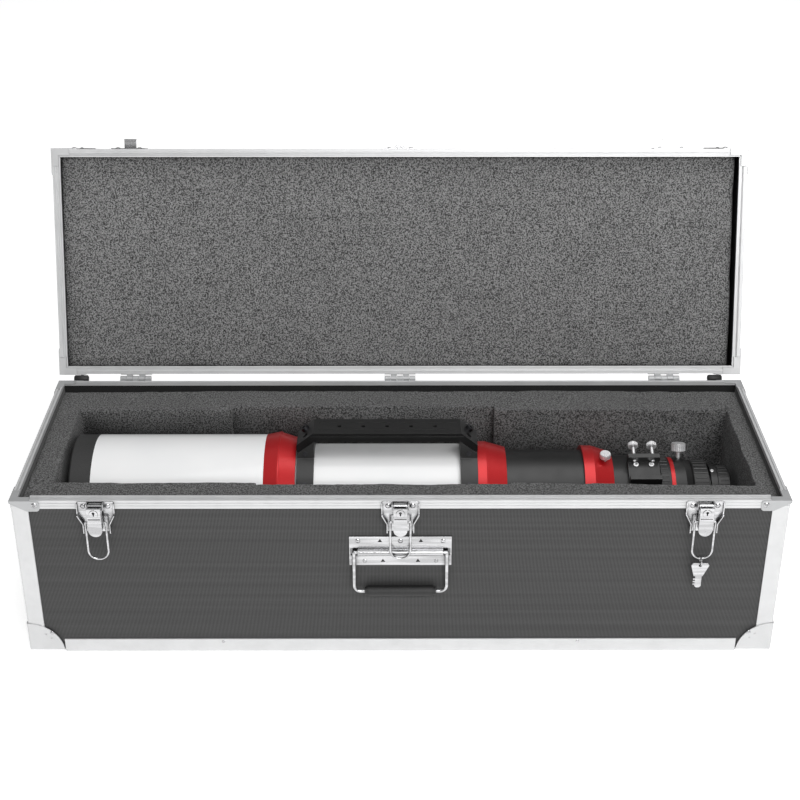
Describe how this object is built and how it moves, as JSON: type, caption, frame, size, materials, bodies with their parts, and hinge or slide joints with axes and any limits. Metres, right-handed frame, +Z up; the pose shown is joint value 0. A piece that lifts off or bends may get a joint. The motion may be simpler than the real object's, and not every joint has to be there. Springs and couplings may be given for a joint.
{
  "type": "telescope in transport case",
  "caption": "Refracting telescope lying in the cut-out foam of an open, aluminium-framed transport case with latches, carrying handle and hinged lid.",
  "frame": {"origin": "centre of the case's underside", "axes": "+X along the case towards the focuser, +Y from the latches towards the hinges, +Z up"},
  "size_m": [0.9052, 0.4893, 0.5067],
  "materials": {
    "panel_laminate": "dark grey woven-texture laminate on plywood",
    "frame_aluminium": "satin",
    "cap_steel": "satin",
    "brace_steel": "satin",
    "nickel": "polished",
    "key_steel": "satin",
    "grip_plastic": "matte",
    "liner_fabric": "matte",
    "foam_base": "open-cell foam",
    "foam_lid": "open-cell foam",
    "black_satin": "satin black anodised",
    "cap_plastic": "satin",
    "white_gloss": "gloss",
    "red_anodised": "anodised red",
    "screw_steel": "satin",
    "thumbscrew_nickel": "polished",
    "lens_glass": "polished"
  },
  "bodies": {
    "case_base": {"bottom_panel": "panel_laminate", "base_long_panels": "panel_laminate", "base_end_panels": "panel_laminate", "base_edge_angles": "frame_aluminium", "base_corner_caps": "cap_steel", "base_rim_rails": "frame_aluminium", "base_rim_braces": "brace_steel", "base_rivets": "nickel", "base_liner": "liner_fabric", "foam_floor": "foam_base", "foam_tray": "foam_base", "hinge_base_leaves": "brace_steel", "latch_plates": "nickel", "handle_plate": "nickel"},
    "lid": {"lid_top_panel": "panel_laminate", "lid_long_panels": "panel_laminate", "lid_end_panels": "panel_laminate", "lid_edge_angles": "frame_aluminium", "lid_corner_caps": "cap_steel", "lid_rim_rails": "frame_aluminium", "lid_rim_braces": "cap_steel", "lid_foam": "foam_lid", "hinge_lid_leaves": "brace_steel", "latch_keepers": "nickel", "lid_rivets": "nickel"},
    "lever_left": {"latch_lever_left": "nickel"},
    "lever_middle": {"latch_lever_middle": "nickel"},
    "lever_right": {"latch_lever_right": "nickel"},
    "bail_left": {"latch_bail_left": "nickel"},
    "bail_middle": {"latch_bail_middle": "nickel"},
    "bail_right": {"latch_bail_right": "nickel"},
    "case_handle": {"handle_bail": "nickel", "handle_grip": "grip_plastic"},
    "key": {"key": "key_steel", "key_ring": "key_steel"},
    "telescope": {"objective_cell": "black_satin", "objective_lenses": "lens_glass", "main_tube": "white_gloss", "tube_rings_upper": "black_satin", "tube_rings_lower": "black_satin", "ring_screws": "screw_steel", "handle_bar": "black_satin", "dovetail_plate": "black_satin", "rear_collar": "red_anodised", "extension_tube": "black_satin", "focuser_cone": "red_anodised"},
    "dew_shield": {"dew_shield": "white_gloss", "front_collar": "red_anodised", "lens_cap": "cap_plastic"},
    "cone_thumbscrew": {"cone_thumbscrew": "thumbscrew_nickel"},
    "focuser": {"focuser_body": "black_satin", "finder_shoe": "black_satin", "shoe_screws": "thumbscrew_nickel"},
    "drawtube": {"drawtube": "black_satin"},
    "coarse_knobs": {"focus_knobs": "black_satin"},
    "fine_knob": {"fine_knob": "red_anodised"},
    "rotator": {"rotator_body": "black_satin", "rotator_ring": "red_anodised", "eyepiece_adapter": "black_satin"},
    "rotator_thumbscrew": {"rotator_thumbscrew": "thumbscrew_nickel"}
  },
  "joints": [
    {"name": "lid_hinge", "type": "hinge", "parent": "case_base", "child": "lid", "pos_m": [0, 0.153, 0.2173], "axis": [-1, 0, 0], "range_deg": [-109, 0]},
    {"name": "lever_left_pivot", "type": "hinge", "parent": "case_base", "child": "lever_left", "pos_m": [-0.3515, -0.153, 0.213], "axis": [1, 0, 0], "range_deg": [-100, 0]},
    {"name": "lever_middle_pivot", "type": "hinge", "parent": "case_base", "child": "lever_middle", "pos_m": [0, -0.153, 0.213], "axis": [1, 0, 0], "range_deg": [-100, 0]},
    {"name": "lever_right_pivot", "type": "hinge", "parent": "case_base", "child": "lever_right", "pos_m": [0.3515, -0.153, 0.213], "axis": [1, 0, 0], "range_deg": [-100, 0]},
    {"name": "bail_left_swing", "type": "hinge", "parent": "lever_left", "child": "bail_left", "pos_m": [-0.3515, -0.1565, 0.1935], "axis": [-1, 0, 0], "range_deg": [0, 180]},
    {"name": "bail_middle_swing", "type": "hinge", "parent": "lever_middle", "child": "bail_middle", "pos_m": [0, -0.1565, 0.1935], "axis": [-1, 0, 0], "range_deg": [0, 180]},
    {"name": "bail_right_swing", "type": "hinge", "parent": "lever_right", "child": "bail_right", "pos_m": [0.3515, -0.1565, 0.1935], "axis": [-1, 0, 0], "range_deg": [0, 180]},
    {"name": "handle_swing", "type": "hinge", "parent": "case_base", "child": "case_handle", "pos_m": [0, -0.1502, 0.147], "axis": [-1, 0, 0], "range_deg": [0, 88]},
    {"name": "key_swing", "type": "hinge", "parent": "bail_right", "child": "key", "pos_m": [0.3515, -0.1565, 0.1428], "axis": [1, 0, 0], "range_deg": [-75, 0]},
    {"name": "telescope_lift", "type": "slide", "parent": "case_base", "child": "telescope", "axis": [0, 0, 1], "range_m": [0, 0.35]},
    {"name": "dew_shield_slide", "type": "slide", "parent": "telescope", "child": "dew_shield", "axis": [-1, 0, 0], "range_m": [0, 0.008]},
    {"name": "cone_thumbscrew_turn", "type": "hinge", "parent": "telescope", "child": "cone_thumbscrew", "pos_m": [0.2535, -0.01042, 0.18709], "axis": [0, -0.1736, 0.9848], "continuous": true},
    {"name": "focuser_rotation", "type": "hinge", "parent": "telescope", "child": "focuser", "pos_m": [0.258, 0, 0.128], "axis": [1, 0, 0], "continuous": true},
    {"name": "drawtube_travel", "type": "slide", "parent": "focuser", "child": "drawtube", "axis": [1, 0, 0], "range_m": [0, 0.008]},
    {"name": "coarse_knob_turn", "type": "hinge", "parent": "focuser", "child": "coarse_knobs", "pos_m": [0.293, 0.02367, 0.07725], "axis": [0, 0.9063, 0.4226], "range_deg": [0, 92]},
    {"name": "fine_knob_turn", "type": "hinge", "parent": "focuser", "child": "fine_knob", "pos_m": [0.293, 0.02367, 0.07725], "axis": [0, 0.9063, 0.4226], "range_deg": [0, 920]},
    {"name": "rotator_turn", "type": "hinge", "parent": "drawtube", "child": "rotator", "pos_m": [0.343, 0, 0.128], "axis": [1, 0, 0], "continuous": true},
    {"name": "rotator_thumbscrew_turn", "type": "hinge", "parent": "rotator", "child": "rotator_thumbscrew", "pos_m": [0.35, 0.01881, 0.17968], "axis": [0, 0.342, 0.9397], "continuous": true}
  ],
  "couplings": [
    {"joint": "coarse_knob_turn", "follows": "drawtube_travel", "rad_per_m": 200},
    {"joint": "fine_knob_turn", "follows": "drawtube_travel", "rad_per_m": 2000}
  ]
}
